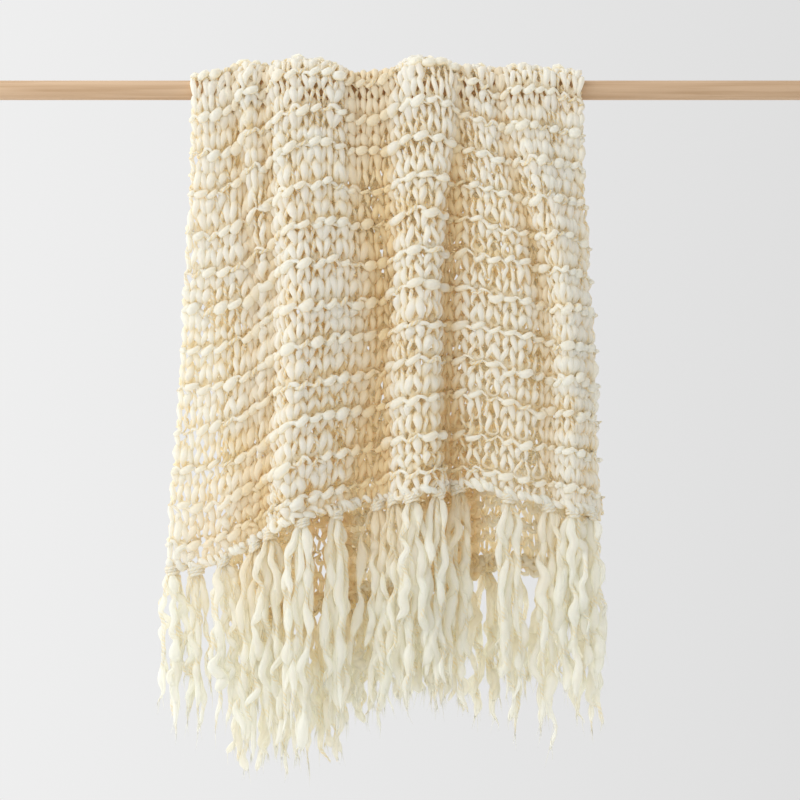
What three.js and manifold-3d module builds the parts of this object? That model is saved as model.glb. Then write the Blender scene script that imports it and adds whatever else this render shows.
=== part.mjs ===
// A chunky hand-knit wool throw with a tasselled fringe at both ends, hung over a round wooden rod.
// Millimetres, +Z up. The rod lies along X with the origin at the middle of its axis.
// The front of the throw faces -Y.
import * as THREE from "three";
import { mergeVertices } from "three/addons/utils/BufferGeometryUtils.js";
import Module from "manifold-3d";

// Rod
const ROD_RADIUS = 15;
const ROD_LENGTH = 1300;
const ROD_SIDES = 32;

// Knitted sheet
const SHEET_THICKNESS = 10;
const ROD_CLEARANCE = 1.05;
const HANG_RADIUS = ROD_RADIUS + ROD_CLEARANCE + SHEET_THICKNESS / 2;
const MID_SHARE = 0.45;
const NORMAL_STEP = 0.002;

// Purl ridges: one for each band of the knitting, raised on the outer face
const BAND_COUNT = 27;
const RIDGE_HEIGHT = 4;
const ROWS_PER_BAND = 2;
const COLUMNS_PER_FOLD = 2;

// Rows between these bands turn over the rod and are divided more finely
const ROD_FIRST_BAND = 10.5;
const ROD_LAST_BAND = 13.5;
const ROD_ROW_PARTS = 3;

// Fold lines from left to right. X is the place along the rod, Out is how far the cloth stands off its
// hang line: on top of the rod, halfway down each fall and at each hem. Drop is the hem below the axis.
const FOLD_COLUMNS = [
  "rodX",
  "rodOut",
  "frontX",
  "frontOut",
  "frontHemX",
  "frontHemOut",
  "frontDrop",
  "backX",
  "backOut",
  "backHemX",
  "backHemOut",
  "backDrop",
];
const FOLDS = [
  [-321, 0, -335, -10, -364, -28, 738, -292, 4, -258, 26, 822], // left edge
  [-288, 0, -292, -5, -316, -22, 740, -268, 18, -232, 48, 824], // left panel
  [-264, 0, -252, -1, -268, -9, 724, -248, 36, -208, 66, 820], // inner side of the left panel
  [-250, 1, -222, -4, -240, -2, 709, -228, 40, -188, 63, 817], // first valley
  [-234, 13, -206, 8, -222, 4, 700, -218, 37, -176, 54, 815], // small fold that dies out downwards
  [-210, 7, -192, 6, -204, 12, 687, -202, 29, -162, 40, 812], // foot of the first fold
  [-182, 20, -164, 44, -178, 54, 672, -182, 14, -142, 18, 808], // crest of the first fold
  [-148, 22, -134, 42, -148, 52, 660, -150, 5, -110, 4, 803], // broad top of the first fold
  [-104, 17, -94, 27, -98, 30, 649, -112, 14, -80, 20, 798], // far side of the first fold
  [-76, 5, -56, 12, -60, 8, 641, -82, 36, -56, 50, 794], // middle valley
  [-19, 5, -20, 4, -20, 6, 634, -40, 48, -22, 70, 788], // foot of the second fold
  [3, 15, 0, 32, 3, 44, 627, -6, 42, 10, 62, 782], // steep side of the second fold
  [37, 24, 22, 46, 33, 60, 621, 28, 24, 38, 34, 776], // crest of the second fold
  [70, 20, 48, 38, 58, 46, 617, 62, 10, 66, 12, 768], // sharp edge of the second fold
  [88, 9, 70, 4, 74, 4, 615, 92, 6, 98, 4, 757], // deep valley
  [112, 11, 114, 20, 112, 28, 613, 132, 24, 136, 26, 740], // start of the broad right fold
  [134, 9, 172, 26, 190, 32, 631, 180, 40, 178, 50, 744], // middle of the broad right fold
  [154, 4, 216, 10, 232, 20, 640, 216, 36, 214, 50, 752], // slanting valley
  [190, 10, 248, 32, 270, 26, 648, 250, 18, 258, 30, 764], // right crest
  [281, 0, 293, -5, 310, -10, 658, 288, 4, 308, 12, 778], // right edge
].map((row) => Object.fromEntries(row.map((value, i) => [FOLD_COLUMNS[i], value])));
const LAST_FOLD = FOLDS.length - 1;

// Where the slack knitting opens into see-through gaps: fold lines and rows counted from the front hem
const GAP_WIDTH = 7;
const GAP_HEIGHT = 14;
const GAP_AREAS = [
  { firstFold: 0, lastFold: 3, firstRow: 1, lastRow: 12 }, // left panel
  { firstFold: 9, lastFold: 10.5, firstRow: 1, lastRow: 9 }, // middle valley
  { firstFold: 14.5, lastFold: 19, firstRow: 1, lastRow: 8 }, // right side
];

// Fringe: the fold line each tassel hangs at, and its length below the knot
const FRONT_TASSELS = [
  { fold: 0.3, length: 258 },
  { fold: 1, length: 250 },
  { fold: 1.9, length: 262 },
  { fold: 4, length: 325 },
  { fold: 5.25, length: 325 },
  { fold: 7, length: 345 },
  { fold: 8, length: 335 },
  { fold: 9.6, length: 345 },
  { fold: 10.5, length: 320 },
  { fold: 11.5, length: 320 },
  { fold: 13, length: 318 },
  { fold: 14.5, length: 340 },
  { fold: 15.65, length: 335 },
  { fold: 16.9, length: 372 },
  { fold: 17.85, length: 290 },
  { fold: 18.5, length: 266 },
];
const BACK_TASSELS = [
  { fold: 0.5, length: 240 },
  { fold: 2, length: 246 },
  { fold: 4, length: 252 },
  { fold: 6, length: 244 },
  { fold: 7, length: 262 },
  { fold: 8, length: 256 },
  { fold: 9, length: 268 },
  { fold: 10, length: 252 },
  { fold: 11, length: 262 },
  { fold: 12, length: 248 },
  { fold: 13, length: 266 },
  { fold: 14, length: 254 },
  { fold: 15, length: 272 },
  { fold: 16, length: 262 },
  { fold: 17.5, length: 246 },
  { fold: 18.5, length: 232 },
];
const KNOT_RADIUS = 8;
const KNOT_HEIGHT = 20;
const KNOT_SHOULDER = 6;
const KNOT_NECK_RADIUS = 7.2;
const KNOT_SIDES = 6;
const HEM_GAP = 0.4;
const RING_STRANDS = 5;
const ROOT_SHARE = 0.6;
const ROOT_RING = 4.5;
const FRONT_SPREAD = 8.5;
const BACK_SPREAD = 6;
const STRAND_SIDES = 3;
const STRAND_RADII = [2.2, 4.1, 3.5, 0]; // root, upper part, lower part, tip
const STRAND_STEPS = STRAND_RADII.length - 1;
const SHORTEST_STRAND = 0.88;
const SWAY = 5;
const SWAY_HALF_WAVES = 1.4;
const SWAY_TURN = 2.4; // how far the sway turns from one tassel to the next, in radians
const LENGTH_TURN = 1.9; // the same for the lengths of a tassel's strands

const wasm = await Module();
wasm.setup();

const woolFinish = { color: 0xe9dfc6, roughness: 0.95, metalness: 0 };
const woodFinish = { color: 0xd3b48e, roughness: 0.55, metalness: 0 };

function addPiece(group, name, geometry, finish) {
  const piece = new THREE.Mesh(geometry, new THREE.MeshStandardMaterial(finish));
  piece.name = name;
  group.add(piece);
}

// One column of the fold table at any place between two fold lines, on a Catmull-Rom curve.
function foldValue(column, fold) {
  const i = Math.min(Math.floor(fold), LAST_FOLD - 1);
  const t = fold - i;
  const [a, b, c, d] = [i - 1, i, i + 1, i + 2].map(
    (row) => FOLDS[THREE.MathUtils.clamp(row, 0, LAST_FOLD)][column],
  );
  return b + 0.5 * t * (c - a + t * (2 * a - 5 * b + 4 * c - d + t * (3 * (b - c) + d - a)));
}

// A cubic from one value to the next with the given rise over the step at both ends.
function easedStep(from, to, startRise, endRise, t) {
  const rest = 1 - t;
  const ends = rest * rest * (1 + 2 * t) * from + t * t * (3 - 2 * t) * to;
  return ends + rest * rest * t * startRise - t * t * rest * endRise;
}

// A value down a fall: upright where it leaves the rod, then through the middle to the hem.
function fallValue(rod, middle, hem, share) {
  const middleSlope = hem - rod;
  const hemSlope = (hem - middle) / (1 - MID_SHARE);
  if (share < MID_SHARE) {
    return easedStep(rod, middle, 0, middleSlope * MID_SHARE, share / MID_SHARE);
  }
  const lower = 1 - MID_SHARE;
  return easedStep(middle, hem, middleSlope * lower, hemSlope * lower, (share - MID_SHARE) / lower);
}

// The middle of the sheet at a fold line and a run from 0 at the front hem to 1 at the back hem.
function sheetPoint(fold, run) {
  const rodOut = foldValue("rodOut", fold);
  const quarterTurn = (Math.PI / 2) * (HANG_RADIUS + rodOut);
  const frontLength = quarterTurn + foldValue("frontDrop", fold);
  const backLength = quarterTurn + foldValue("backDrop", fold);
  const along = run * (frontLength + backLength) - frontLength;
  const side = along < 0 ? "front" : "back";
  const facing = along < 0 ? -1 : 1;
  const turned = Math.min(Math.abs(along), quarterTurn);
  const fall = Math.abs(along) - turned;
  const share = fall / foldValue(side + "Drop", fold);
  const out = fallValue(rodOut, foldValue(side + "Out", fold), foldValue(side + "HemOut", fold), share);
  const x = fallValue(
    foldValue("rodX", fold),
    foldValue(side + "X", fold),
    foldValue(side + "HemX", fold),
    share,
  );
  const angle = turned / (HANG_RADIUS + rodOut);
  const reach = HANG_RADIUS + out;
  return new THREE.Vector3(x, facing * reach * Math.sin(angle), reach * Math.cos(angle) - fall);
}

// The outward direction of the sheet.
function sheetNormal(fold, run) {
  const foldStep = NORMAL_STEP * LAST_FOLD;
  const right = sheetPoint(Math.min(fold + foldStep, LAST_FOLD), run);
  const left = sheetPoint(Math.max(fold - foldStep, 0), run);
  const later = sheetPoint(fold, Math.min(run + NORMAL_STEP, 1));
  const earlier = sheetPoint(fold, Math.max(run - NORMAL_STEP, 0));
  return right.sub(left).cross(later.sub(earlier)).normalize();
}

// A point on the outer or inner face, with the purl ridges raised on the outer one.
function facePoint(fold, run, outer) {
  const band = (run * BAND_COUNT) % 1;
  const ridge = RIDGE_HEIGHT * (1 - Math.abs(2 * band - 1));
  const offset = outer ? SHEET_THICKNESS / 2 + ridge : -SHEET_THICKNESS / 2;
  return sheetPoint(fold, run).addScaledVector(sheetNormal(fold, run), offset);
}

// The runs of the rows, from the front hem to the back hem.
function sheetRows() {
  const rows = [];
  for (let row = 0; row < BAND_COUNT * ROWS_PER_BAND; row += 1) {
    const band = row / ROWS_PER_BAND;
    const parts = band >= ROD_FIRST_BAND && band < ROD_LAST_BAND ? ROD_ROW_PARTS : 1;
    for (let part = 0; part < parts; part += 1) {
      rows.push((row + part / parts) / (BAND_COUNT * ROWS_PER_BAND));
    }
  }
  return [...rows, 1];
}

// Every second cell of a slack area is a gap.
function isGap(column, row) {
  const fold = column / COLUMNS_PER_FOLD;
  return GAP_AREAS.some(
    (area) =>
      fold >= area.firstFold &&
      fold < area.lastFold &&
      row >= area.firstRow &&
      row < area.lastRow &&
      (column + row) % 2 === 0,
  );
}

// The corners of a gap in the middle of a cell, in the order of the cell's corners.
function gapCorners([a, b, c, d]) {
  const acrossShare = GAP_WIDTH / (a.distanceTo(b) + c.distanceTo(d));
  const alongShare = GAP_HEIGHT / (b.distanceTo(c) + d.distanceTo(a));
  const inCell = (across, along) => a.clone().lerp(b, across).lerp(d.clone().lerp(c, across), along);
  const [left, right] = [0.5 - acrossShare, 0.5 + acrossShare];
  const [low, high] = [0.5 - alongShare, 0.5 + alongShare];
  return [inCell(left, low), inCell(right, low), inCell(right, high), inCell(left, high)];
}

function sheetGeometry() {
  const rows = sheetRows();
  const columnCount = LAST_FOLD * COLUMNS_PER_FOLD;
  const face = (outer) =>
    rows.map((run) =>
      Array.from({ length: columnCount + 1 }, (_, i) => facePoint(i / COLUMNS_PER_FOLD, run, outer)),
    );
  const outerFace = face(true);
  const innerFace = face(false);
  const points = [];
  const addQuad = (a, b, c, d) => points.push(a, b, c, a, c, d);
  const cellCorners = (grid, i, j) => [grid[j][i], grid[j][i + 1], grid[j + 1][i + 1], grid[j + 1][i]];

  for (let j = 0; j < rows.length - 1; j += 1) {
    for (let i = 0; i < columnCount; i += 1) {
      const outer = cellCorners(outerFace, i, j);
      const inner = cellCorners(innerFace, i, j);
      if (!isGap(i, j)) {
        addQuad(...outer);
        addQuad(...inner.reverse());
        continue;
      }
      const outerGap = gapCorners(outer);
      const innerGap = gapCorners(inner);
      for (let k = 0; k < 4; k += 1) {
        const next = (k + 1) % 4;
        addQuad(outer[k], outer[next], outerGap[next], outerGap[k]);
        addQuad(inner[next], inner[k], innerGap[k], innerGap[next]);
        addQuad(outerGap[k], outerGap[next], innerGap[next], innerGap[k]);
      }
    }
  }
  const lastRow = rows.length - 1;
  const addRim = ([i, j], [nextI, nextJ]) =>
    addQuad(outerFace[j][i], outerFace[nextJ][nextI], innerFace[nextJ][nextI], innerFace[j][i]);
  for (let i = 0; i < columnCount; i += 1) {
    addRim([i + 1, 0], [i, 0]);
    addRim([i, lastRow], [i + 1, lastRow]);
  }
  for (let j = 0; j < lastRow; j += 1) {
    addRim([0, j], [0, j + 1]);
    addRim([columnCount, j + 1], [columnCount, j]);
  }
  return mergeVertices(new THREE.BufferGeometry().setFromPoints(points));
}

// A closed geometry as a solid that can be joined.
function solidFrom(geometry) {
  geometry.deleteAttribute("normal");
  geometry.deleteAttribute("uv");
  const merged = mergeVertices(geometry);
  return new wasm.Manifold(
    new wasm.Mesh({
      numProp: 3,
      vertProperties: merged.attributes.position.array,
      triVerts: new Uint32Array(merged.index.array),
    }),
  );
}

function geometryFrom(solid) {
  const mesh = solid.getMesh();
  const geometry = new THREE.BufferGeometry();
  geometry.setAttribute("position", new THREE.BufferAttribute(mesh.vertProperties, 3));
  return geometry.setIndex(new THREE.BufferAttribute(mesh.triVerts, 1));
}

// One strand below the root: thin at the knot, full in the middle, with a pointed end.
function strandGeometry(root, length, spread, sway) {
  const strand = new THREE.ConeGeometry(1, length, STRAND_SIDES, STRAND_STEPS);
  strand.rotateX(-Math.PI / 2);
  strand.rotateZ(Math.atan2(root.y, root.x));
  const position = strand.attributes.position;
  for (let i = 0; i < position.count; i += 1) {
    const step = Math.round((0.5 - position.getZ(i) / length) * STRAND_STEPS);
    const below = step / STRAND_STEPS;
    const flare = 1 + (spread / ROOT_RING) * Math.sin((below * Math.PI) / 2);
    const drift = Math.sin(below * Math.PI * SWAY_HALF_WAVES);
    const side = new THREE.Vector2(position.getX(i), position.getY(i)).setLength(STRAND_RADII[step]);
    position.setXYZ(
      i,
      root.x * flare + side.x + sway.x * drift,
      root.y * flare + side.y + sway.y * drift,
      -below * length,
    );
  }
  return strand;
}

// A tassel with the top of its knot at the origin.
function tasselGeometry(index, length, spread) {
  const knotProfile = [
    new THREE.Vector2(0, -KNOT_HEIGHT),
    new THREE.Vector2(KNOT_NECK_RADIUS, -KNOT_HEIGHT),
    new THREE.Vector2(KNOT_RADIUS, -KNOT_SHOULDER),
    new THREE.Vector2(0, 0),
  ];
  const knot = new THREE.LatheGeometry(knotProfile, KNOT_SIDES).rotateX(Math.PI / 2);
  const sway = new THREE.Vector2(SWAY, 0).rotateAround(new THREE.Vector2(), index * SWAY_TURN);
  let tassel = solidFrom(knot);
  for (let k = 0; k <= RING_STRANDS; k += 1) {
    const ring = k < RING_STRANDS ? ROOT_RING : 0;
    const angle = (k / RING_STRANDS) * Math.PI * 2;
    const share = 1 - (1 - SHORTEST_STRAND) * Math.abs(Math.sin(k * LENGTH_TURN + index));
    const root = new THREE.Vector2(ring * Math.cos(angle), ring * Math.sin(angle));
    const strand = strandGeometry(root, length * share, spread, sway);
    strand.translate(0, 0, -KNOT_HEIGHT * ROOT_SHARE);
    tassel = tassel.add(solidFrom(strand));
  }
  return geometryFrom(tassel);
}

// The point just under the hem that a tassel's knot rises to.
function hemSeat(fold, run) {
  const outer = facePoint(fold, run, true);
  const inner = facePoint(fold, run, false);
  const seat = outer.clone().lerp(inner, 0.5);
  seat.z = Math.min(outer.z, inner.z) - HEM_GAP;
  return seat;
}

function addFringe(group, side, tassels, run, spread) {
  tassels.forEach(({ fold, length }, i) => {
    const seat = hemSeat(fold, run);
    const geometry = tasselGeometry(i, length, spread).translate(seat.x, seat.y, seat.z);
    addPiece(group, `tassel_${side}_${String(i + 1).padStart(2, "0")}`, geometry, woolFinish);
  });
}

function rodGeometry() {
  const rod = new THREE.CylinderGeometry(ROD_RADIUS, ROD_RADIUS, ROD_LENGTH, ROD_SIDES);
  return rod.rotateZ(-Math.PI / 2);
}

const hungThrow = new THREE.Group();
addPiece(hungThrow, "rod", rodGeometry(), woodFinish);
addPiece(hungThrow, "throw", sheetGeometry(), woolFinish);
addFringe(hungThrow, "front", FRONT_TASSELS, 0, FRONT_SPREAD);
addFringe(hungThrow, "back", BACK_TASSELS, 1, BACK_SPREAD);

export default hungThrow;
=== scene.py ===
import math

import bmesh
import bpy
import numpy as np
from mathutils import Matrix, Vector


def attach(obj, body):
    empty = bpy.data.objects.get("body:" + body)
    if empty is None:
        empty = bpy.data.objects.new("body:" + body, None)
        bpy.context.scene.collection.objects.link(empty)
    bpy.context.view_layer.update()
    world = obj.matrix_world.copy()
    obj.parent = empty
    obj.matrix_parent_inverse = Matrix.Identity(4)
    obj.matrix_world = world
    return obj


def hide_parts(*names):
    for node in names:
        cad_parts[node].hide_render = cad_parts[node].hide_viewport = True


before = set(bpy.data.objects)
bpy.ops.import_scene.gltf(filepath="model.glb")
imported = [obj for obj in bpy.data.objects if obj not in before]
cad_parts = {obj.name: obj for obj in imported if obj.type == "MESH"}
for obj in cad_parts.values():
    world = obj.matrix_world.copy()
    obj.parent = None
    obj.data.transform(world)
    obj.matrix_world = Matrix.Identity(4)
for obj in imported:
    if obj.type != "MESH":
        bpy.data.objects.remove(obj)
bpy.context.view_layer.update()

mm = 0.001
tiny = 1e-12
scene = bpy.context.scene
tasselNodes = sorted(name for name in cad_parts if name.startswith("tassel_"))
print("frame loaded, tassels:", len(tasselNodes))


def unit(vectors):
    return vectors / np.maximum(np.linalg.norm(vectors, axis=-1, keepdims=True), tiny)


# From 0 to 1 with level ends
def eased(t):
    return t * t * (3 - 2 * t)


# The value between four neighbouring cells of a grid
def betweenCells(grid, i, j, s, t):
    low = grid[j, i] * (1 - s) + grid[j, i + 1] * s
    high = grid[j + 1, i] * (1 - s) + grid[j + 1, i + 1] * s
    return low * (1 - t) + high * t


# Drape: the fold lines that the throw hangs in, left to right, in millimetres. A row gives the line's
# place on the rod, then lower down and at the hem, for the front and for the back
drape = {
    "rodRadius": 15.0,
    "rodClearance": 1.05,
    "yarnClearance": 0.3,
    "sheetThickness": 10.0,
    "midShare": 0.45,   # how far down the place between rod and hem lies
    "columns": (
        "rodX", "rodOut", "frontX", "frontOut", "frontHemX", "frontHemOut", "frontDrop",
        "backX", "backOut", "backHemX", "backHemOut", "backDrop",
    ),
    "folds": (
        (-321, 0, -335, -10, -364, -28, 738, -292, 4, -258, 26, 822),   # left edge
        (-288, 0, -292, -5, -316, -22, 740, -268, 18, -232, 48, 824),   # left panel
        (-264, 0, -252, -1, -268, -9, 724, -248, 36, -208, 66, 820),
        (-250, 1, -222, -4, -240, -2, 709, -228, 40, -188, 63, 817),   # first valley
        (-234, 13, -206, 8, -222, 4, 700, -218, 37, -176, 54, 815),   # small fold
        (-210, 7, -192, 6, -204, 12, 687, -202, 29, -162, 40, 812),
        (-182, 20, -164, 44, -178, 54, 672, -182, 14, -142, 18, 808),   # first crest
        (-148, 22, -134, 42, -148, 52, 660, -150, 5, -110, 4, 803),
        (-104, 17, -94, 27, -98, 30, 649, -112, 14, -80, 20, 798),
        (-76, 5, -56, 12, -60, 8, 641, -82, 36, -56, 50, 794),   # middle valley
        (-19, 5, -20, 4, -20, 6, 634, -40, 48, -22, 70, 788),
        (3, 15, 0, 32, 3, 44, 627, -6, 42, 10, 62, 782),
        (37, 24, 22, 46, 33, 60, 621, 28, 24, 38, 34, 776),   # second crest
        (70, 20, 48, 38, 58, 46, 617, 62, 10, 66, 12, 768),
        (88, 9, 70, 4, 74, 4, 615, 92, 6, 98, 4, 757),   # deep valley
        (112, 11, 114, 20, 112, 28, 613, 132, 24, 136, 26, 740),   # broad right fold
        (134, 9, 172, 26, 190, 32, 631, 180, 40, 178, 50, 744),
        (154, 4, 216, 10, 232, 20, 640, 216, 36, 214, 50, 752),   # slanting valley
        (190, 10, 248, 32, 270, 26, 648, 250, 18, 258, 30, 764),   # right crest
        (281, 0, 293, -5, 310, -10, 658, 288, 4, 308, 12, 778),   # right edge
    ),
    "stepsPerFold": 60,
    "gridAcross": 321,
    "gridAlong": 481,
    "pastSide": 6,   # grid cells that yarn may reach past the side edges
    "pastHem": 8,   # and past the hems
}
foldRows = np.array(drape["folds"], float) * mm
lastFold = len(foldRows) - 1
hangRadius = (drape["rodRadius"] + drape["rodClearance"] + drape["sheetThickness"] / 2) * mm


# A smooth curve that passes through one column of the fold lines
def foldValue(column, fold):
    row = foldRows[:, drape["columns"].index(column)]
    i = np.clip(np.floor(fold).astype(int), 0, lastFold - 1)
    t = fold - i
    a, b, c, d = (row[np.clip(i + k, 0, lastFold)] for k in (-1, 0, 1, 2))
    return b + 0.5 * t * (c - a + t * (2 * a - 5 * b + 4 * c - d + t * (3 * (b - c) + d - a)))


def easedStep(start, end, startRise, endRise, t):
    rest = 1 - t
    ends = rest * rest * (1 + 2 * t) * start + eased(t) * end
    return ends + rest * rest * t * startRise - t * t * rest * endRise


def fallValue(rod, middle, hem, share):
    upper = drape["midShare"]
    lower = 1 - upper
    nearRod = easedStep(rod, middle, 0, (hem - rod) * upper, share / upper)
    nearHem = easedStep(middle, hem, (hem - rod) * lower, hem - middle, (share - upper) / lower)
    return np.where(share < upper, nearRod, nearHem)


# Middle of the cloth at a fold line and a run from 0 at the front hem to 1 at the back hem
def sheetPoint(fold, run):
    fold, run = np.broadcast_arrays(np.asarray(fold, float), np.asarray(run, float))
    rodOut = foldValue("rodOut", fold)
    quarterTurn = math.pi / 2 * (hangRadius + rodOut)
    frontDrop, backDrop = foldValue("frontDrop", fold), foldValue("backDrop", fold)
    along = run * (2 * quarterTurn + frontDrop + backDrop) - quarterTurn - frontDrop
    front = along < 0
    turned = np.minimum(np.abs(along), quarterTurn)
    fall = np.abs(along) - turned
    share = fall / np.where(front, frontDrop, backDrop)

    def either(name):
        return np.where(front, foldValue("front" + name, fold), foldValue("back" + name, fold))

    reach = hangRadius + fallValue(rodOut, either("Out"), either("HemOut"), share)
    x = fallValue(foldValue("rodX", fold), either("X"), either("HemX"), share)
    angle = turned / (hangRadius + rodOut)
    y = np.where(front, -1, 1) * reach * np.sin(angle)
    return np.stack([x, y, reach * np.cos(angle) - fall], -1)


# Even spacing across the cloth, so that every stitch of a row is equally wide
def drapeGrid():
    runs = np.linspace(0, 1, drape["gridAlong"])
    fine = np.linspace(0, lastFold, lastFold * drape["stepsPerFold"] + 1)
    even = np.linspace(0, 1, drape["gridAcross"])
    rough = sheetPoint(fine[None, :], runs[:, None])
    steps = np.linalg.norm(np.diff(rough, axis=1), axis=-1)
    folds = np.empty((len(runs), len(even)))
    for j, row in enumerate(steps):
        length = np.concatenate([[0], np.cumsum(row)])
        folds[j] = np.interp(even, length / length[-1], fine)
    points = sheetPoint(folds, runs[:, None])
    normals = unit(np.cross(np.gradient(points, axis=1), np.gradient(points, axis=0)))
    return points, normals


gridPoints, gridNormals = drapeGrid()


def gridSample(grid, across, run):
    lastAcross, lastAlong = drape["gridAcross"] - 1, drape["gridAlong"] - 1
    i = np.clip(across * lastAcross, -drape["pastSide"], lastAcross + drape["pastSide"])
    j = np.clip(run * lastAlong, -drape["pastHem"], lastAlong + drape["pastHem"])
    i0 = np.clip(np.floor(i).astype(int), 0, lastAcross - 1)
    j0 = np.clip(np.floor(j).astype(int), 0, lastAlong - 1)
    return betweenCells(grid, i0, j0, (i - i0)[..., None], (j - j0)[..., None])


# Points that stand out from the middle of the cloth, and the cloth's outward directions there
def onCloth(across, run, out):
    normals = unit(gridSample(gridNormals, across, run))
    return gridSample(gridPoints, across, run) + normals * out[..., None], normals


# Painted shade in the valleys: how wide a stretch a place is measured against, and the depth in
# millimetres that counts as a full valley, fully shaded, at each fall below the rod
valleys = {
    "reach": 20,   # grid cells
    "tail": 3,   # reaches to each side
    "deep": (8.0, 9.0, 19.0, 6.5),
    "fall": (0.0, 230.0, 420.0, 620.0),
    "sideShare": 0.10,   # valleys fade out over this share of the width at each side edge
}


# How deep each place lies between the folds beside it, from 0 on a crest to 1 in a valley,
# which is how much painted shade it gets
def paintedFoldShade():
    y, z = gridPoints[..., 1], gridPoints[..., 2]
    away = np.where(z > 0, np.hypot(y, z), np.abs(y))
    tail = valleys["tail"] * valleys["reach"]
    weights = np.exp(-(np.arange(-tail, tail + 1) / valleys["reach"]) ** 2 / 2)
    padded = np.pad(away, ((0, 0), (tail, tail)), mode="edge")
    around = sum(w * padded[:, k:k + away.shape[1]] for k, w in enumerate(weights)) / weights.sum()
    deep = np.interp(-z / mm, valleys["fall"], valleys["deep"]) * mm
    across = np.linspace(0, 1, drape["gridAcross"])
    inside = np.clip(np.minimum(across, 1 - across) / valleys["sideShare"], 0, 1)
    return (np.clip((around - away) / deep, 0, 1) * inside * inside)[..., None]


gridFoldShade = paintedFoldShade()
widths = np.linalg.norm(np.diff(gridPoints, axis=1), axis=-1).sum(1)
lengths = np.linalg.norm(np.diff(gridPoints, axis=0), axis=-1).sum(0)
print("drape: width %.3f to %.3f m, length %.3f to %.3f m"
      % (widths.min(), widths.max(), lengths.min(), lengths.max()))


# Smooth random values along each yarn, one draw for each step
def wander(rng, count, steps, rings, draw):
    values = draw(rng, (count, steps + 2))
    place = np.linspace(0, steps, rings)
    i = np.floor(place).astype(int)
    ease = eased(place - i)
    return values[:, i] * (1 - ease) + values[:, i + 1] * ease


def normalDraw(size):
    return lambda rng, shape: rng.normal(0, size, shape)


# Smooth random values over the whole cloth, so that neighbouring rows stray together
def stray(rng, cells, across, run):
    cellsAcross, cellsAlong = cells
    values = rng.normal(0, 1, (cellsAlong + 2, cellsAcross + 2))
    i = np.clip(across, 0, 1) * cellsAcross
    j = np.clip(run, 0, 1) * cellsAlong
    i0, j0 = np.floor(i).astype(int), np.floor(j).astype(int)
    return betweenCells(values, i0, j0, eased(i - i0), eased(j - j0))


# Yarn that would lie in the rod is pressed flat against it
def clearOfRod(points):
    least = (drape["rodRadius"] + drape["yarnClearance"]) * mm
    away = np.hypot(points[..., 1], points[..., 2])
    push = np.maximum(least / np.maximum(away, tiny), 1)
    points[..., 1] *= push
    points[..., 2] *= push
    return points


# Yarn: closed round tubes, many in one mesh, as arrays of yarns by rings by sides
def tubeSpokes(paths, guides, sides):
    tangent = unit(np.gradient(paths, axis=1))
    first = unit(guides - (guides * tangent).sum(-1, keepdims=True) * tangent)
    second = np.cross(tangent, first)
    turn = np.arange(sides)[:, None] * 2 * math.pi / sides
    return first[:, :, None, :] * np.cos(turn) + second[:, :, None, :] * np.sin(turn)


def tubeFaces(count, rings, sides):
    index = np.arange(count * rings * sides).reshape(count, rings, sides)
    after = np.roll(index, -1, axis=2)
    quads = np.stack([index[:, :-1], after[:, :-1], after[:, 1:], index[:, 1:]], -1).reshape(-1, 4)
    caps = np.concatenate([index[:, 0, ::-1], index[:, -1]])
    return quads, caps


# The map of the quads: metres along the yarn and turns round it
def tubeMap(paths, sides):
    steps = np.linalg.norm(np.diff(paths, axis=1), axis=-1)
    along = np.concatenate([np.zeros((len(paths), 1)), np.cumsum(steps, axis=1)], axis=1)
    before, after = along[:, :-1], along[:, 1:]
    turns = np.arange(sides) / sides
    turned = turns + 1 / sides
    corners = np.empty(steps.shape + (sides, 4, 2))
    corners[..., 0] = np.stack([before, before, after, after], -1)[:, :, None, :]
    corners[..., 1] = np.stack([turns, turned, turned, turns], -1)
    return corners.reshape(-1, 2)


def tubeMesh(name, points, quads, caps, quadMap):
    mesh = bpy.data.meshes.new(name)
    mesh.vertices.add(points.size // 3)
    mesh.vertices.foreach_set("co", points.astype(np.float32).ravel())
    corners = np.concatenate([quads.ravel(), caps.ravel()])
    mesh.loops.add(corners.size)
    mesh.loops.foreach_set("vertex_index", corners.astype(np.int32))
    capStarts = quads.size + np.arange(len(caps)) * caps.shape[1]
    starts = np.concatenate([np.arange(len(quads)) * 4, capStarts])
    mesh.polygons.add(len(starts))
    mesh.polygons.foreach_set("loop_start", starts.astype(np.int32))
    mesh.update(calc_edges=True)
    mesh.shade_smooth()
    uvs = np.concatenate([quadMap, np.zeros((caps.size, 2))])
    mesh.uv_layers.new(name="yarn").data.foreach_set("uv", uvs.astype(np.float32).ravel())
    return mesh


def tubePiece(name, material, paths, guides, radii, sides, paintedShade, **rings):
    spoke = tubeSpokes(paths, guides, sides)
    points = clearOfRod(paths[:, :, None, :] + radii[:, :, None, None] * spoke)
    quads, caps = tubeFaces(*radii.shape, sides)
    mesh = tubeMesh(name, points, quads, caps, tubeMap(paths, sides))
    rings["size"] = np.clip(radii / (woolLook["bumpRadius"] * mm), 0, 1)
    # The painted shade at each point of the tube
    values = {"paintedShade": paintedShade(spoke)}
    for label, ring in rings.items():
        values[label] = np.repeat(ring[:, :, None], sides, axis=2)
    for label, value in values.items():
        layer = mesh.attributes.new(label, "FLOAT", "POINT")
        layer.data.foreach_set("value", value.astype(np.float32).ravel())
    mesh.materials.append(material)
    piece = bpy.data.objects.new(name, mesh)
    scene.collection.objects.link(piece)
    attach(piece, "root")
    print(name, "triangles:", len(quads) * 2 + len(caps) * (sides - 2))
    return piece


# Shader nodes: a socket given as an input is linked, and anything else is set
def setInputs(tree, node, inputs):
    for label, value in inputs.items():
        if isinstance(value, bpy.types.NodeSocket):
            tree.links.new(value, node.inputs[label])
        else:
            node.inputs[label].default_value = value


def addNode(tree, kind, inputs, **settings):
    node = tree.nodes.new("ShaderNode" + kind)
    for name, value in settings.items():
        setattr(node, name, value)
    setInputs(tree, node, inputs)
    return node


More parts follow.
